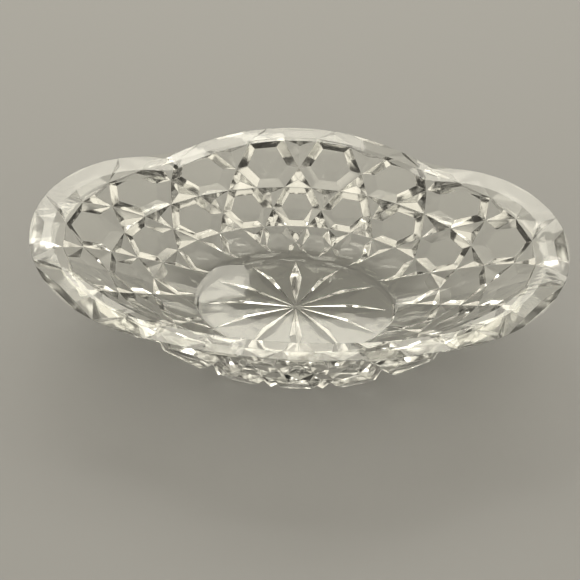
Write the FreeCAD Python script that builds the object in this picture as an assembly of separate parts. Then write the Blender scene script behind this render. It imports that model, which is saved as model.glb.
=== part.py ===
import FreeCAD, Part
import math
import os

# Oval dish pressed in one piece of clear glass.
# Frame: +X along the length, +Y across the width, +Z up, origin at the centre of the foot's flat underside.

# Rim, seen from above: two long side lobes and two short end lobes that meet in four V notches.
LENGTH = 130.0
END_RADIUS = 32.0
SIDE_RADIUS = 70.0
SIDE_CENTRE = 29.0
RIM_HEIGHT_SIDE = 26.8
RIM_HEIGHT_END = 26.2
RIM_HEIGHT_NOTCH = 22.4
RIM_FLAT = 5.3
RIM_BEVEL_REACH = 4.0

# Foot: a flat oval with a narrow polished bevel around it.
FOOT_LENGTH = 49.2
FOOT_WIDTH = 35.4

# Outer wall at the four level lines of the pattern, from the line under the rim down to the foot:
# half length, half width, height on the long sides, height at the ends.
WALL_RINGS = [
    (59.3, 38.9, 21.5, 21.1),
    (48.6, 34.8, 12.6, 12.6),
    (38.2, 28.3, 3.2, 3.8),
    (25.2, 18.3, 0.5, 0.5),
]
BULGE_ROWS = 0.5

# Cut pattern: interlaced hexagons and triangles between V grooves that run in three directions.
COLUMNS = 16
HEX_ROWS = [0.5, 1.5, 2.5]
COLUMN_SWING = -0.11
FLAT_SHARE = 0.62
GROOVE_ROW = 0.5 * (1 - FLAT_SHARE)
RIM_ROW = -0.375
GROOVE_DEPTH = 0.127
SIDE_BULGE = 0.6

# Hollow: level ovals from a flat floor. Above it each side flares straight, after a knee that rounds off.
FLOOR_HEIGHT = 4.6
FLOOR_LENGTH = 50.6
FLOOR_WIDTH = 36.4
END_FLARE = 1.2
END_KNEE = 9.8
END_KNEE_HEIGHT = 12.0
SIDE_FLARE = 0.5
SIDE_KNEE = 6.3
SIDE_KNEE_HEIGHT = 5.0
HOLLOW_TOP = 31.8
HOLLOW_LEVELS = 8

# Star cut into the underside of the foot.
RAYS = 12
RAY_REACH = 0.93
RAY_WAIST = 0.62
RAY_HALF_WIDTH = 1.6
RAY_DEPTH = 1.3


def notch_point():
    """Where a side arc meets an end arc, in the quarter with +X and +Y."""
    end_centre = LENGTH / 2 - END_RADIUS
    gap = math.hypot(end_centre, SIDE_CENTRE)
    along = (SIDE_RADIUS ** 2 - END_RADIUS ** 2 + gap ** 2) / (2 * gap)
    aside = math.sqrt(SIDE_RADIUS ** 2 - along ** 2)
    x = (along * end_centre - aside * SIDE_CENTRE) / gap
    y = (along * SIDE_CENTRE + aside * end_centre) / gap - SIDE_CENTRE
    return x, y


def fold(u):
    """Columns counted from the middle of a long side, folded into one quarter: 0 to 4, and two signs."""
    u = (u + COLUMNS / 2) % COLUMNS - COLUMNS / 2
    sign_x = -1.0 if u < 0 else 1.0
    u = abs(u)
    if u > COLUMNS / 4:
        return COLUMNS / 2 - u, sign_x, -1.0
    return u, sign_x, 1.0


def rim_point(u, inset=0.0, drop=0.0):
    """A point on the top of the rim, moved inwards and down from its outer edge."""
    quarter, sign_x, sign_y = fold(u)
    notch_x, notch_y = notch_point()
    if quarter <= 2:
        angle = math.atan2(notch_x, notch_y + SIDE_CENTRE) * quarter / 2
        x = (SIDE_RADIUS - inset) * math.sin(angle)
        y = (SIDE_RADIUS - inset) * math.cos(angle) - SIDE_CENTRE
        crest = RIM_HEIGHT_SIDE
        swing = quarter / 2
    else:
        end_centre = LENGTH / 2 - END_RADIUS
        angle = math.atan2(notch_y, notch_x - end_centre) * (4 - quarter) / 2
        x = (END_RADIUS - inset) * math.cos(angle) + end_centre
        y = (END_RADIUS - inset) * math.sin(angle)
        crest = RIM_HEIGHT_END
        swing = (4 - quarter) / 2
    z = RIM_HEIGHT_NOTCH + (crest - RIM_HEIGHT_NOTCH) * (1 - swing ** 2)
    return FreeCAD.Vector(sign_x * x, sign_y * y, z - drop)


def ring_sizes(v):
    """The four sizes of the wall ring at row v, blended smoothly between the listed rings."""
    place = v
    index = min(int(place), len(WALL_RINGS) - 2)
    t = place - index
    before = WALL_RINGS[max(index - 1, 0)]
    low = WALL_RINGS[index]
    high = WALL_RINGS[index + 1]
    after = WALL_RINGS[min(index + 2, len(WALL_RINGS) - 1)]
    sizes = []
    for p0, p1, p2, p3 in zip(before, low, high, after):
        bend = 2 * p0 - 5 * p1 + 4 * p2 - p3
        twist = 3 * p1 - p0 - 3 * p2 + p3
        sizes.append(p1 + 0.5 * t * (p2 - p0 + t * (bend + t * twist)))
    return sizes


def column_angle(u):
    """Angle around the oval for column u; the columns crowd a little towards the ends."""
    angle = 2 * math.pi * u / COLUMNS
    return angle + COLUMN_SWING * math.sin(2 * angle)


def wall_point(u, v):
    """A point on the wall before the grooves are cut; v is 0 under the rim and 3 at the foot."""
    if v < 0:
        top = rim_point(u)
        return wall_point(u, 0) + (top - wall_point(u, 0)) * (v / RIM_ROW)
    half_length, half_width, side_height, end_height = ring_sizes(v)
    angle = column_angle(u)
    side_share = 0.5 + 0.5 * math.cos(4 * math.pi * u / COLUMNS)
    z = end_height + (side_height - end_height) * side_share
    place = FreeCAD.Vector(half_length * math.sin(angle), half_width * math.cos(angle), z)
    if v < BULGE_ROWS:
        place += (rim_point(u) - place) * (side_bulge(u) * (1 - v / BULGE_ROWS) ** 1.5)
    return place


def side_bulge(u):
    """How far the pattern's top line rises towards the rim in the middle of a long side."""
    from_middle = abs((u + COLUMNS / 4) % (COLUMNS / 2) - COLUMNS / 4)
    return max(0.0, SIDE_BULGE * (1 - (from_middle / 1.7) ** 2))


def inward(u, v):
    """Unit normal of the wall, pointing into the glass."""
    step = 0.02
    up = max(v - step, 0.0)
    around = wall_point(u + step, v) - wall_point(u - step, v)
    down = wall_point(u, up + 2 * step) - wall_point(u, up)
    return down.cross(around).normalize()


def groove_bottom(u, v):
    """A crossing of two grooves, sunk below the wall by a share of the local column width."""
    half_length, half_width = ring_sizes(max(v, 0.0))[:2]
    column = 2 * math.pi * math.sqrt((half_length ** 2 + half_width ** 2) / 2) / COLUMNS
    return wall_point(u, v) + inward(u, v) * (GROOVE_DEPTH * column)


def crossing(u, v):
    """Pattern corner: on the foot's edge the grooves run out, everywhere else they are full depth."""
    if v == 3:
        return wall_point(u, v)
    return groove_bottom(u, v)


def face(*points):
    """A flat face through the given corners."""
    return Part.Face(Part.makePolygon(list(points) + [points[0]]))


def quad(a, b, c, d):
    """Two triangles, for four corners that don't lie in one plane."""
    return [face(a, b, c), face(a, c, d)]


def strip(upper, lower):
    """Triangles between two rows of the same number of points."""
    faces = []
    for i in range(len(upper) - 1):
        faces += quad(upper[i], upper[i + 1], lower[i + 1], lower[i])
    return faces


def hexagon(uc, vc):
    """One hexagon of the pattern: a flat centre and six bevels down to the grooves."""
    offsets = [(0.5, 0), (0.25, 0.5), (-0.25, 0.5), (-0.5, 0), (-0.25, -0.5), (0.25, -0.5)]
    corners = [crossing(uc + du, vc + dv) for du, dv in offsets]
    loose = [wall_point(uc + FLAT_SHARE * du, vc + FLAT_SHARE * dv) for du, dv in offsets]
    middle = sum(loose, FreeCAD.Vector()) * (1 / 6)
    normal = (loose[0] - loose[3]).cross(loose[1] - loose[4]).normalize()
    flat = [p - normal * (p - middle).dot(normal) for p in loose]
    return [face(*flat)] + strip(flat + flat[:1], corners + corners[:1])


def pyramid(uc, vc, tip):
    """One triangle of the pattern: three faces rising to a point; tip is -1 or 1, up or down the wall."""
    corners = [crossing(uc, vc), crossing(uc - 0.25, vc + 0.5 * tip), crossing(uc + 0.25, vc + 0.5 * tip)]
    top = wall_point(uc, vc + tip / 3)
    return [face(corners[i], corners[(i + 1) % 3], top) for i in range(3)]


def rim_columns(u):
    """The columns where the faces below the rim meet its edge, over one column of the pattern."""
    flat_edge = FLAT_SHARE / 4 + 0.5 * (-RIM_ROW - GROOVE_ROW)
    groove = 0.25 - 0.5 * RIM_ROW
    return [u, u + flat_edge / 2, u + flat_edge, u + groove, u + 0.5, u + 1 - groove, u + 1 - flat_edge,
            u + 1 - flat_edge / 2]


def band_under_rim(u):
    """Between the top line of grooves and the rim: half a hexagon around column u, half a pyramid after it."""
    top = [rim_point(c) for c in rim_columns(u) + [u + 1]]
    low = [crossing(u - 0.25, 0), crossing(u + 0.25, 0), crossing(u + 0.75, 0)]
    left = wall_point(u - FLAT_SHARE / 4, -GROOVE_ROW)
    right = wall_point(u + FLAT_SHARE / 4, -GROOVE_ROW)
    after = wall_point(u + 1 - FLAT_SHARE / 4, -GROOVE_ROW)
    crown = wall_point(u + 0.5, -1 / 6)
    faces = quad(low[0], low[1], right, left)
    faces += [face(left, right, top[0])]
    faces += [face(right, top[1], top[0]), face(right, top[2], top[1])]
    faces += quad(low[1], top[3], top[2], right)
    faces += [face(low[1], low[2], crown)]
    faces += quad(low[1], crown, top[4], top[3])
    faces += quad(crown, low[2], top[5], top[4])
    faces += quad(low[2], after, top[6], top[5])
    faces += [face(after, top[7], top[6]), face(after, top[8], top[7])]
    return faces


def rim_lid():
    """Flat top of the rim, its inner bevel, and a closing surface that the hollow removes."""
    columns = []
    for u in range(COLUMNS):
        columns += rim_columns(u)
    columns.append(columns[0])
    outer = [rim_point(c) for c in columns]
    flat = [rim_point(c, RIM_FLAT) for c in columns]
    deep = [rim_point(c, RIM_FLAT + RIM_BEVEL_REACH, RIM_BEVEL_REACH) for c in columns]
    middle = FreeCAD.Vector(0, 0, RIM_HEIGHT_NOTCH - RIM_BEVEL_REACH)
    faces = strip(outer, flat) + strip(flat, deep)
    faces += [face(deep[i], deep[i + 1], middle) for i in range(len(deep) - 1)]
    return faces


def foot_point(u):
    """A point on the edge of the flat foot."""
    angle = column_angle(u)
    return FreeCAD.Vector(FOOT_LENGTH / 2 * math.sin(angle), FOOT_WIDTH / 2 * math.cos(angle), 0)


def foot_columns():
    """The 32 columns where the pattern meets the foot."""
    return [0.25 + 0.5 * i for i in range(2 * COLUMNS)]


def foot_bevel():
    """The narrow bevel between the foot and the wall."""
    columns = foot_columns() + [0.25]
    return strip([wall_point(c, 3) for c in columns], [foot_point(c) for c in columns])


def star_ray(k):
    """Centre line end, waist corners and waist bottom of ray k."""
    angle = 2 * math.pi * k / RAYS
    reach = FreeCAD.Vector(FOOT_LENGTH / 2 * math.sin(angle), FOOT_WIDTH / 2 * math.cos(angle), 0) * RAY_REACH
    aside = FreeCAD.Vector(reach.y, -reach.x, 0).normalize() * RAY_HALF_WIDTH
    waist = reach * RAY_WAIST
    return reach, waist - aside, waist + aside, waist + FreeCAD.Vector(0, 0, RAY_DEPTH)


def foot_star():
    """Underside of the foot: twelve V-cut rays and the flat sectors between them."""
    centre = FreeCAD.Vector()
    edge = [foot_point(c) for c in foot_columns()]
    bearings = [math.atan2(p.x, p.y) % (2 * math.pi) for p in edge]
    faces = []
    for k in range(RAYS):
        tip, left, right, bottom = star_ray(k)
        next_tip, next_left = star_ray((k + 1) % RAYS)[:2]
        faces += [face(centre, right, bottom), face(right, tip, bottom)]
        faces += [face(centre, bottom, left), face(left, bottom, tip)]
        start = nearest_edge(bearings, tip)
        stop = nearest_edge(bearings, next_tip)
        count = (stop - start) % len(edge)
        border = [edge[(start + i) % len(edge)] for i in range(count + 1)]
        faces.append(face(centre, right, tip, *border, next_tip, next_left))
    return faces


def nearest_edge(bearings, tip):
    """Number of the foot corner nearest to the bearing of a ray's tip."""
    bearing = math.atan2(tip.x, tip.y)
    gaps = [abs((b - bearing + math.pi) % (2 * math.pi) - math.pi) for b in bearings]
    return gaps.index(min(gaps))


def oval(height, half_length, half_width):
    """A level oval wire."""
    centre = FreeCAD.Vector(0, 0, height)
    return Part.Wire(Part.Ellipse(centre, half_length, half_width).toShape())


def hollow_ring(height):
    """Half length and half width of the hollow at a height."""
    rise = height - FLOOR_HEIGHT
    half_length = FLOOR_LENGTH / 2 + END_FLARE * rise + END_KNEE * (1 - math.exp(-rise / END_KNEE_HEIGHT))
    half_width = FLOOR_WIDTH / 2 + SIDE_FLARE * rise + SIDE_KNEE * (1 - math.exp(-rise / SIDE_KNEE_HEIGHT))
    return half_length, half_width


def hollow():
    """The smooth inside of the dish, from its floor to above the rim."""
    levels = []
    for i in range(HOLLOW_LEVELS + 1):
        height = FLOOR_HEIGHT + (HOLLOW_TOP - FLOOR_HEIGHT) * (i / HOLLOW_LEVELS) ** 1.5
        levels.append(oval(height, *hollow_ring(height)))
    return Part.makeLoft(levels, True, False)


def glass_dish():
    """The whole dish: cut outer wall, rim, foot and star, with the hollow taken out."""
    faces = rim_lid() + foot_bevel() + foot_star()
    for u in range(COLUMNS):
        faces += band_under_rim(u)
        for row, vc in enumerate(HEX_ROWS):
            shift = 0.5 * (row % 2)
            faces += hexagon(u + 0.5 - shift, vc)
            faces += pyramid(u + shift, vc, -1) + pyramid(u + shift, vc, 1)
    shell = Part.makeShell(faces)
    shell.sewShape()
    body = Part.makeSolid(shell)
    if body.Volume < 0:
        body.reverse()
    return body.cut(hollow())


os.makedirs("parts", exist_ok=True)
glass_dish().exportStep("parts/glass_dish.step")
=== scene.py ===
import math
import bmesh
import bpy
from mathutils import Matrix, Vector


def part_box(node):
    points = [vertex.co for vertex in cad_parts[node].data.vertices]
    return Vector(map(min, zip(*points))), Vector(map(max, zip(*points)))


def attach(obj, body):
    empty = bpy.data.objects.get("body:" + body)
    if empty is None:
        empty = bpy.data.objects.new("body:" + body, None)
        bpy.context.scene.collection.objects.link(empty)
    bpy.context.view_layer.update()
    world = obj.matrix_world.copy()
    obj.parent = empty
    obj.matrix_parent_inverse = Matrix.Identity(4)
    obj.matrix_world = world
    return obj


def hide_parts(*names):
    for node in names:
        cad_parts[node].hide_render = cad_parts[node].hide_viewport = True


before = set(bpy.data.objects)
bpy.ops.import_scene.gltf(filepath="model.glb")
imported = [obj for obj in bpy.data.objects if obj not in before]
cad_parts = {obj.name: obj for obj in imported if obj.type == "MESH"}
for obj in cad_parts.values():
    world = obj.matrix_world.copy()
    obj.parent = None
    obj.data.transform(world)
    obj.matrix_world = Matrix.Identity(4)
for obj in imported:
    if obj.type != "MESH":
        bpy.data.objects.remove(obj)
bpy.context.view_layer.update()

MM = 0.001

# Sizes in millimetres, as on the CAD part.
# Rim, seen from above: two long side lobes and two short end lobes that meet in four V notches.
box_low, box_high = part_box("glass_dish")
LENGTH = (box_high[0] - box_low[0]) / MM
END_RADIUS = 32.0
SIDE_RADIUS = 70.0
SIDE_CENTRE = 29.0
RIM_HEIGHT_SIDE = 26.8
RIM_HEIGHT_END = 26.2
RIM_HEIGHT_NOTCH = 22.4
RIM_FLAT = 5.3
RIM_BEVEL_DROP = 0.9

# Foot: a flat oval.
FOOT_LENGTH = 49.2
FOOT_WIDTH = 35.4

# Outer wall at the four level lines of the pattern, from the line under the rim down to the foot:
# half length, half width, height on the long sides, height at the ends.
WALL_RINGS = [
    (59.3, 38.9, 21.5, 21.1),
    (48.6, 34.8, 12.6, 12.6),
    (38.2, 28.3, 3.2, 3.8),
    (25.2, 18.3, 0.5, 0.5),
]

# Cut pattern: interlaced hexagons and triangles between V grooves, counted in columns and rows.
COLUMNS = 16
NOTCH_COLUMN = 2
HEX_ROWS = [0.5, 1.5, 2.5]
COLUMN_SWING = -0.11
FLAT_SHARE = 0.62
RIM_ROW = -0.375
FOOT_ROW = 3
GROOVE_DEPTH = 0.127
SLOPE_STEP = 0.02
SIDE_BULGE = 0.6
BULGE_COLUMNS = 1.7
BULGE_ROWS = 0.5
BULGE_FADE = 1.5

# Hollow: level ovals from a flat floor. Above it each side flares straight, after a knee that rounds off.
FLOOR_HEIGHT = 4.6
FLOOR_LENGTH = 50.6
FLOOR_WIDTH = 36.4
END_FLARE = 1.2
END_KNEE = 9.8
END_KNEE_HEIGHT = 12.0
SIDE_FLARE = 0.5
SIDE_KNEE = 6.3
SIDE_KNEE_HEIGHT = 5.0
HOLLOW_ROWS = 28
ROW_CROWDING = 1.4

# Star cut into the underside of the foot.
RAYS = 12
RAY_REACH = 0.93
RAY_WAIST = 0.62
RAY_HALF_WIDTH = 1.6
RAY_DEPTH = 1.3

# Finish: rounded edges, and facets less polished than the flats and the inside.
EDGE_ROUNDING = 0.07
SHARP_ANGLE = 7
CUT_ROUGHNESS = 0.08
BAND_ROUGHNESS = 0.14
LAMP_COLOUR = (1.0, 0.96, 0.84)


def blend(rings, place):
    """Smooth curve through a list of rings, at a place counted in rings."""
    index = min(int(place), len(rings) - 2)
    t = place - index
    before = rings[max(index - 1, 0)]
    low = rings[index]
    high = rings[index + 1]
    after = rings[min(index + 2, len(rings) - 1)]
    sizes = []
    for p0, p1, p2, p3 in zip(before, low, high, after):
        bend = 2 * p0 - 5 * p1 + 4 * p2 - p3
        twist = 3 * p1 - p0 - 3 * p2 + p3
        sizes.append(p1 + 0.5 * t * (p2 - p0 + t * (bend + t * twist)))
    return sizes


def notch_point():
    """Where a side arc meets an end arc, in the quarter with +X and +Y."""
    end_centre = LENGTH / 2 - END_RADIUS
    gap = math.hypot(end_centre, SIDE_CENTRE)
    along = (SIDE_RADIUS ** 2 - END_RADIUS ** 2 + gap ** 2) / (2 * gap)
    aside = math.sqrt(SIDE_RADIUS ** 2 - along ** 2)
    x = (along * end_centre - aside * SIDE_CENTRE) / gap
    y = (along * SIDE_CENTRE + aside * end_centre) / gap - SIDE_CENTRE
    return x, y


def rim_point(u, inset=0.0):
    """Top of the rim over column u, moved inwards from its outer edge."""
    u = (u + COLUMNS / 2) % COLUMNS - COLUMNS / 2
    sign_x = -1.0 if u < 0 else 1.0
    u = abs(u)
    sign_y = 1.0
    if u > COLUMNS / 4:
        u = COLUMNS / 2 - u
        sign_y = -1.0
    notch_x, notch_y = notch_point()
    if u <= NOTCH_COLUMN:
        angle = math.atan2(notch_x, notch_y + SIDE_CENTRE) * u / NOTCH_COLUMN
        x = (SIDE_RADIUS - inset) * math.sin(angle)
        y = (SIDE_RADIUS - inset) * math.cos(angle) - SIDE_CENTRE
        crest = RIM_HEIGHT_SIDE
        swing = u / NOTCH_COLUMN
    else:
        end_centre = LENGTH / 2 - END_RADIUS
        end_columns = COLUMNS / 4 - NOTCH_COLUMN
        angle = math.atan2(notch_y, notch_x - end_centre) * (COLUMNS / 4 - u) / end_columns
        x = (END_RADIUS - inset) * math.cos(angle) + end_centre
        y = (END_RADIUS - inset) * math.sin(angle)
        crest = RIM_HEIGHT_END
        swing = (COLUMNS / 4 - u) / end_columns
    z = RIM_HEIGHT_NOTCH + (crest - RIM_HEIGHT_NOTCH) * (1 - swing ** 2)
    return Vector((sign_x * x, sign_y * y, z))


def column_angle(u):
    """Angle of column u around the oval, in smaller steps on the long sides to even out the columns."""
    angle = 2 * math.pi * u / COLUMNS
    return angle + COLUMN_SWING * math.sin(2 * angle)


def wall_point(u, v):
    """Wall before the grooves are cut; row v is 0 under the rim."""
    if v < 0:
        return wall_point(u, 0).lerp(rim_point(u), v / RIM_ROW)
    half_length, half_width, side_height, end_height = blend(WALL_RINGS, v)
    angle = column_angle(u)
    side_share = 0.5 + 0.5 * math.cos(4 * math.pi * u / COLUMNS)
    z = end_height + (side_height - end_height) * side_share
    place = Vector((half_length * math.sin(angle), half_width * math.cos(angle), z))
    if v < BULGE_ROWS and side_bulge(u) > 0:
        place = place.lerp(rim_point(u), side_bulge(u) * (1 - v / BULGE_ROWS) ** BULGE_FADE)
    return place


def side_bulge(u):
    """How far the pattern's top line rises to the rim in the middle of a long side."""
    from_middle = abs((u + COLUMNS / 4) % (COLUMNS / 2) - COLUMNS / 4)
    return max(0.0, SIDE_BULGE * (1 - (from_middle / BULGE_COLUMNS) ** 2))


def crossing(u, v):
    """Where two grooves cross, sunk into the glass; on the foot's edge they run out."""
    if v == FOOT_ROW:
        return wall_point(u, v)
    half_length, half_width = blend(WALL_RINGS, v)[:2]
    column = 2 * math.pi * math.sqrt((half_length ** 2 + half_width ** 2) / 2) / COLUMNS
    around = wall_point(u + SLOPE_STEP, v) - wall_point(u - SLOPE_STEP, v)
    up = max(v - SLOPE_STEP, 0)
    down = wall_point(u, up + 2 * SLOPE_STEP) - wall_point(u, up)
    inward = down.cross(around).normalized()
    return wall_point(u, v) + inward * (GROOVE_DEPTH * column)


class Solid:
    """Corners shared by place, and faces over them."""

    def __init__(self):
        self.mesh = bmesh.new()
        self.cut = self.mesh.faces.layers.float.new("cut")
        self.corners = {}

    def corner(self, place):
        key = tuple(round(c * 10000) for c in place)
        if key not in self.corners:
            self.corners[key] = self.mesh.verts.new(Vector(place) * MM)
        return self.corners[key]

    def face(self, *places, smooth=False, cut=0.0):
        corners = []
        for place in places:
            c = self.corner(place)
            if c not in corners:
                corners.append(c)
        if len(corners) > 2:
            made = self.mesh.faces.new(corners)
            made.smooth = smooth
            made[self.cut] = cut

    def strip(self, upper, lower, smooth=False, cut=0.0):
        for i in range(len(upper) - 1):
            self.face(upper[i], upper[i + 1], lower[i + 1], lower[i], smooth=smooth, cut=cut)


def add_hexagon(solid, uc, vc):
    """A hexagon around a column and row: its raised flat and the six bevels down to the grooves."""
    offsets = [(0.5, 0), (0.25, 0.5), (-0.25, 0.5), (-0.5, 0), (-0.25, -0.5), (0.25, -0.5)]
    corners = [crossing(uc + du, vc + dv) for du, dv in offsets]
    loose = [wall_point(uc + FLAT_SHARE * du, vc + FLAT_SHARE * dv) for du, dv in offsets]
    middle = sum(loose, Vector()) / 6
    normal = (loose[0] - loose[3]).cross(loose[1] - loose[4]).normalized()
    flat = [p - normal * (p - middle).dot(normal) for p in loose]
    solid.face(*flat)
    solid.strip(flat + flat[:1], corners + corners[:1], cut=1.0)


def add_pyramid(solid, uc, vc, tip):
    """A triangle of the pattern as a low pyramid; from the corner given, it opens down (1) or up (-1)."""
    corners = [crossing(uc + du, vc + dv * tip) for du, dv in [(0, 0), (-0.25, 0.5), (0.25, 0.5)]]
    top = wall_point(uc, vc + tip / 3)
    for i in range(3):
        solid.face(corners[i], corners[(i + 1) % 3], top, cut=1.0)


# Where corners of the faces under the rim meet it within a column, and how finely each stretch is cut.
GROOVE_ROW = 0.5 * (1 - FLAT_SHARE)
FLAT_EDGE = FLAT_SHARE / 4 + 0.5 * (-RIM_ROW - GROOVE_ROW)
GROOVE_EDGE = 0.25 - 0.5 * RIM_ROW
STOPS = [0, FLAT_EDGE, GROOVE_EDGE, 0.5, 1 - GROOVE_EDGE, 1 - FLAT_EDGE, 1]
CUTS = [3, 2, 1, 1, 2, 3]


def between(first, last):
    """Rim columns from one stop to another within a column, with the points between them."""
    columns = []
    for i in range(first, last):
        for k in range(CUTS[i]):
            columns.append(STOPS[i] + (STOPS[i + 1] - STOPS[i]) * k / CUTS[i])
    return columns + [STOPS[last]]


def add_band_under_rim(solid, u):
    """The half hexagon and the triangles of one column that the rim cuts off."""
    low = [crossing(u - 0.25, 0), crossing(u + 0.25, 0), crossing(u + 0.75, 0)]
    left = wall_point(u - FLAT_SHARE / 4, -GROOVE_ROW)
    right = wall_point(u + FLAT_SHARE / 4, -GROOVE_ROW)
    after = wall_point(u + 1 - FLAT_SHARE / 4, -GROOVE_ROW)
    crown = wall_point(u + 0.5, -1 / 6)
    band = BAND_ROUGHNESS / CUT_ROUGHNESS

    def edge(first, last, column=u):
        return [rim_point(column + c) for c in reversed(between(first, last))]

    solid.face(low[0], low[1], right, left, cut=band)
    solid.face(left, right, *edge(0, 1), *edge(5, 6, u - 1)[1:], cut=band)
    solid.face(low[1], *edge(1, 2), right, cut=band)
    solid.face(low[1], low[2], crown, cut=band)
    solid.face(low[1], crown, *edge(2, 3), cut=band)
    solid.face(crown, low[2], *edge(3, 4), cut=band)
    solid.face(low[2], after, *edge(4, 5), cut=band)


def rim_columns():
    """Places all around the rim, at every corner of the faces under it."""
    columns = []
    for u in range(COLUMNS):
        columns += [u + c for c in between(0, 6)[:-1]]
    return columns + [0]


def hollow_ring(height):
    """Half length and half width of the hollow at a height."""
    rise = height - FLOOR_HEIGHT
    half_length = FLOOR_LENGTH / 2 + END_FLARE * rise + END_KNEE * (1 - math.exp(-rise / END_KNEE_HEIGHT))
    half_width = FLOOR_WIDTH / 2 + SIDE_FLARE * rise + SIDE_KNEE * (1 - math.exp(-rise / SIDE_KNEE_HEIGHT))
    return half_length, half_width


def inner_edge(u):
    """Where the hollow meets the bevel inside the rim, and the angle around the oval there."""
    flat = rim_point(u, RIM_FLAT)
    height = flat.z - RIM_BEVEL_DROP
    half_length, half_width = hollow_ring(height)
    angle = math.atan2(flat.x / half_length, flat.y / half_width)
    return Vector((half_length * math.sin(angle), half_width * math.cos(angle), height)), angle


def add_rim_and_hollow(solid):
    """The flat top, the bevel inside it, and the smooth inside down to the floor."""
    columns = rim_columns()
    outer = [rim_point(c) for c in columns]
    flat = [rim_point(c, RIM_FLAT) for c in columns]
    edges = [inner_edge(c) for c in columns]
    solid.strip(outer, flat)
    rows = [[point for point, angle in edges]]
    solid.strip(flat, rows[0])
    for row in range(1, HOLLOW_ROWS + 1):
        share = 1 - (1 - row / HOLLOW_ROWS) ** ROW_CROWDING
        ring = []
        for point, angle in edges:
            height = point.z + (FLOOR_HEIGHT - point.z) * share
            half_length, half_width = hollow_ring(height)
            ring.append(Vector((half_length * math.sin(angle), half_width * math.cos(angle), height)))
        rows.append(ring)
    for i in range(HOLLOW_ROWS):
        solid.strip(rows[i], rows[i + 1], smooth=True)
    solid.face(*rows[-1][:-1])


def foot_point(u):
    """A point on the edge of the flat underside."""
    angle = column_angle(u)
    return Vector((FOOT_LENGTH / 2 * math.sin(angle), FOOT_WIDTH / 2 * math.cos(angle), 0))


def add_foot(solid):
    """The bevel around the foot, and its underside with the star cut into it."""
    columns = [0.25 + 0.5 * i for i in range(2 * COLUMNS)]
    loop = columns + columns[:1]
    solid.strip([wall_point(c, FOOT_ROW) for c in loop], [foot_point(c) for c in loop])
    edge = [foot_point(c) for c in columns]
    centre = Vector()
    rays = []
    for k in range(RAYS):
        angle = 2 * math.pi * k / RAYS
        reach = Vector((FOOT_LENGTH / 2 * math.sin(angle), FOOT_WIDTH / 2 * math.cos(angle), 0)) * RAY_REACH
        aside = Vector((reach.y, -reach.x, 0)).normalized() * RAY_HALF_WIDTH
        waist = reach * RAY_WAIST
        bearing = math.atan2(reach.x, reach.y) % (2 * math.pi)
        gaps = [abs((math.atan2(p.x, p.y) - bearing + math.pi) % (2 * math.pi) - math.pi) for p in edge]
        bottom = waist + Vector((0, 0, RAY_DEPTH))
        rays.append((reach, waist - aside, waist + aside, bottom, gaps.index(min(gaps))))
    for k in range(RAYS):
        tip, left, right, bottom, start = rays[k]
        next_tip, next_left, _, _, stop = rays[(k + 1) % RAYS]
        solid.face(centre, right, bottom, cut=1.0)
        solid.face(right, tip, bottom, cut=1.0)
        solid.face(centre, bottom, left, cut=1.0)
        solid.face(left, bottom, tip, cut=1.0)
        count = (stop - start) % len(edge)
        border = [edge[(start + i) % len(edge)] for i in range(count + 1)]
        solid.face(centre, right, tip, *border, next_tip, next_left)


def build_dish():
    """The whole dish as one closed mesh with slightly rounded edges."""
    solid = Solid()
    for u in range(COLUMNS):
        add_band_under_rim(solid, u)
        for row, vc in enumerate(HEX_ROWS):
            shift = 0.5 * (row % 2)
            add_hexagon(solid, u + 0.5 - shift, vc)
            add_pyramid(solid, u + shift, vc, -1)
            add_pyramid(solid, u + shift, vc, 1)
    add_rim_and_hollow(solid)
    add_foot(solid)
    mesh = solid.mesh
    bmesh.ops.recalc_face_normals(mesh, faces=mesh.faces)
    sharp = [e for e in mesh.edges if e.is_manifold and not all(f.smooth for f in e.link_faces)
             and e.calc_face_angle(0) > math.radians(SHARP_ANGLE)]
    bmesh.ops.bevel(mesh, geom=sharp, offset=EDGE_ROUNDING * MM, offset_type="OFFSET",
                    segments=2, profile=0.5, affect="EDGES", clamp_overlap=True)
    data = bpy.data.meshes.new("dish_glass")
    mesh.to_mesh(data)
    mesh.free()
    piece = bpy.data.objects.new("dish_glass", data)
    bpy.context.scene.collection.objects.link(piece)
    return piece


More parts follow.
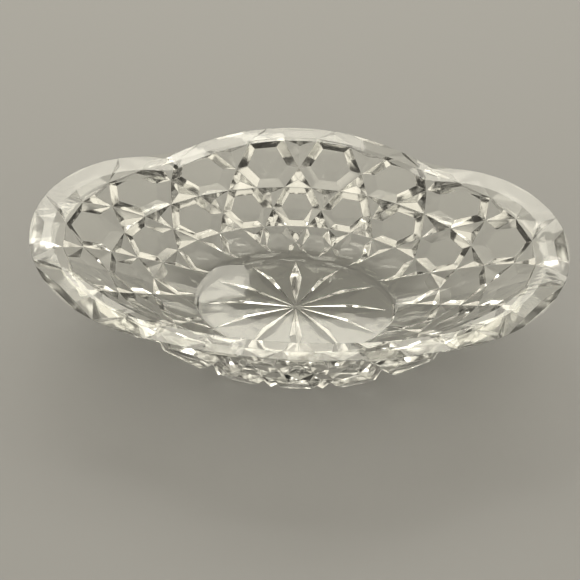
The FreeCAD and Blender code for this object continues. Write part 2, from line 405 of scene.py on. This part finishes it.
def clear_glass():
    """Clear glass with fine wear, slight ripple, and facets less polished by the face layer cut."""
    material = bpy.data.materials.new("clear_glass")
    material.use_nodes = True
    nodes = material.node_tree.nodes
    links = material.node_tree.links
    shader = nodes["Principled BSDF"]
    shader.inputs["Base Color"].default_value = (0.97, 0.975, 0.95, 1)
    shader.inputs["Transmission Weight"].default_value = 1.0
    shader.inputs["IOR"].default_value = 1.5
    place = nodes.new("ShaderNodeTexCoord")
    wear = nodes.new("ShaderNodeTexNoise")
    wear.inputs["Scale"].default_value = 400
    wear.inputs["Detail"].default_value = 4
    links.new(place.outputs["Object"], wear.inputs["Vector"])
    gloss = nodes.new("ShaderNodeMapRange")
    gloss.inputs["To Min"].default_value = 0.0
    gloss.inputs["To Max"].default_value = 0.05
    links.new(wear.outputs["Fac"], gloss.inputs["Value"])
    cut = nodes.new("ShaderNodeAttribute")
    cut.attribute_name = "cut"
    ground = nodes.new("ShaderNodeMath")
    ground.operation = "MULTIPLY_ADD"
    ground.inputs[1].default_value = CUT_ROUGHNESS
    links.new(cut.outputs["Fac"], ground.inputs[0])
    links.new(gloss.outputs["Result"], ground.inputs[2])
    links.new(ground.outputs["Value"], shader.inputs["Roughness"])
    ripple = nodes.new("ShaderNodeTexNoise")
    ripple.inputs["Scale"].default_value = 140
    ripple.inputs["Detail"].default_value = 1
    links.new(place.outputs["Object"], ripple.inputs["Vector"])
    bump = nodes.new("ShaderNodeBump")
    bump.inputs["Strength"].default_value = 0.25
    bump.inputs["Distance"].default_value = 0.0002
    links.new(ripple.outputs["Fac"], bump.inputs["Height"])
    links.new(bump.outputs["Normal"], shader.inputs["Normal"])
    return material


def add_floor():
    """Plain pale floor, a tenth of a millimetre under the foot."""
    bpy.ops.mesh.primitive_plane_add(size=4, location=(0, 0, -0.1 * MM))
    floor = bpy.context.object
    floor.name = "floor"
    material = bpy.data.materials.new("pale_floor")
    material.use_nodes = True
    shader = material.node_tree.nodes["Principled BSDF"]
    shader.inputs["Base Color"].default_value = (0.3, 0.302, 0.31, 1)
    shader.inputs["Roughness"].default_value = 0.7
    floor.data.materials.append(material)


def add_light(name, place, size, power):
    """A rectangular soft box that faces the dish."""
    light = bpy.data.lights.new(name, "AREA")
    light.shape = "RECTANGLE"
    light.size = size[0]
    light.size_y = size[1]
    light.energy = power
    light.color = LAMP_COLOUR
    lamp = bpy.data.objects.new(name, light)
    lamp.location = place
    lamp.rotation_euler = Vector(place).to_track_quat("Z", "Y").to_euler()
    bpy.context.scene.collection.objects.link(lamp)


def add_surround():
    """Studio walls around the dish: bright low down, dim overhead."""
    world = bpy.data.worlds.new("studio")
    bpy.context.scene.world = world
    world.use_nodes = True
    nodes = world.node_tree.nodes
    links = world.node_tree.links
    nodes["Background"].inputs["Color"].default_value = (1.0, 0.94, 0.79, 1)
    place = nodes.new("ShaderNodeTexCoord")
    parts = nodes.new("ShaderNodeSeparateXYZ")
    links.new(place.outputs["Generated"], parts.inputs["Vector"])
    level = nodes.new("ShaderNodeMapRange")
    level.interpolation_type = "SMOOTHSTEP"
    level.inputs["From Min"].default_value = 0.25
    level.inputs["From Max"].default_value = 0.6
    level.inputs["To Min"].default_value = 1.1
    level.inputs["To Max"].default_value = 0.85
    links.new(parts.outputs["Z"], level.inputs["Value"])
    links.new(level.outputs["Result"], nodes["Background"].inputs["Strength"])


def add_camera():
    """Camera in front of the dish and above it, turned and rolled slightly."""
    elevation = math.radians(44.62)
    turn = math.radians(-2.85)
    roll = math.radians(4.08)
    distance = 0.389
    target = Vector((-0.00144, 0.00655, 0.00156))
    level = math.cos(elevation)
    back = Vector((math.sin(turn) * level, -math.cos(turn) * level, math.sin(elevation)))
    right = Vector((math.cos(turn), math.sin(turn), 0))
    up = back.cross(right)
    side = math.cos(roll) * right + math.sin(roll) * up
    top = math.cos(roll) * up - math.sin(roll) * right
    data = bpy.data.cameras.new("camera")
    data.sensor_width = 36
    data.lens = 94.6
    data.clip_start = 0.01
    camera = bpy.data.objects.new("camera", data)
    facing = Matrix((side, top, back)).transposed().to_4x4()
    camera.matrix_world = Matrix.Translation(target + distance * back) @ facing
    bpy.context.scene.collection.objects.link(camera)
    bpy.context.scene.camera = camera


dish = build_dish()
dish.data.materials.append(clear_glass())
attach(dish, "root")
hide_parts("glass_dish")
add_floor()
add_light("low_softbox", (-0.03, 0.81, 0.58), (1.1, 0.19), 2.6)
add_light("left_softbox", (-0.215, 0.7, 0.685), (0.42, 0.11), 0.65)
add_light("high_softbox", (0.02, 0.675, 0.75), (1.1, 0.07), 1.1)
add_surround()
add_camera()
bpy.context.scene.view_settings.view_transform = "Standard"
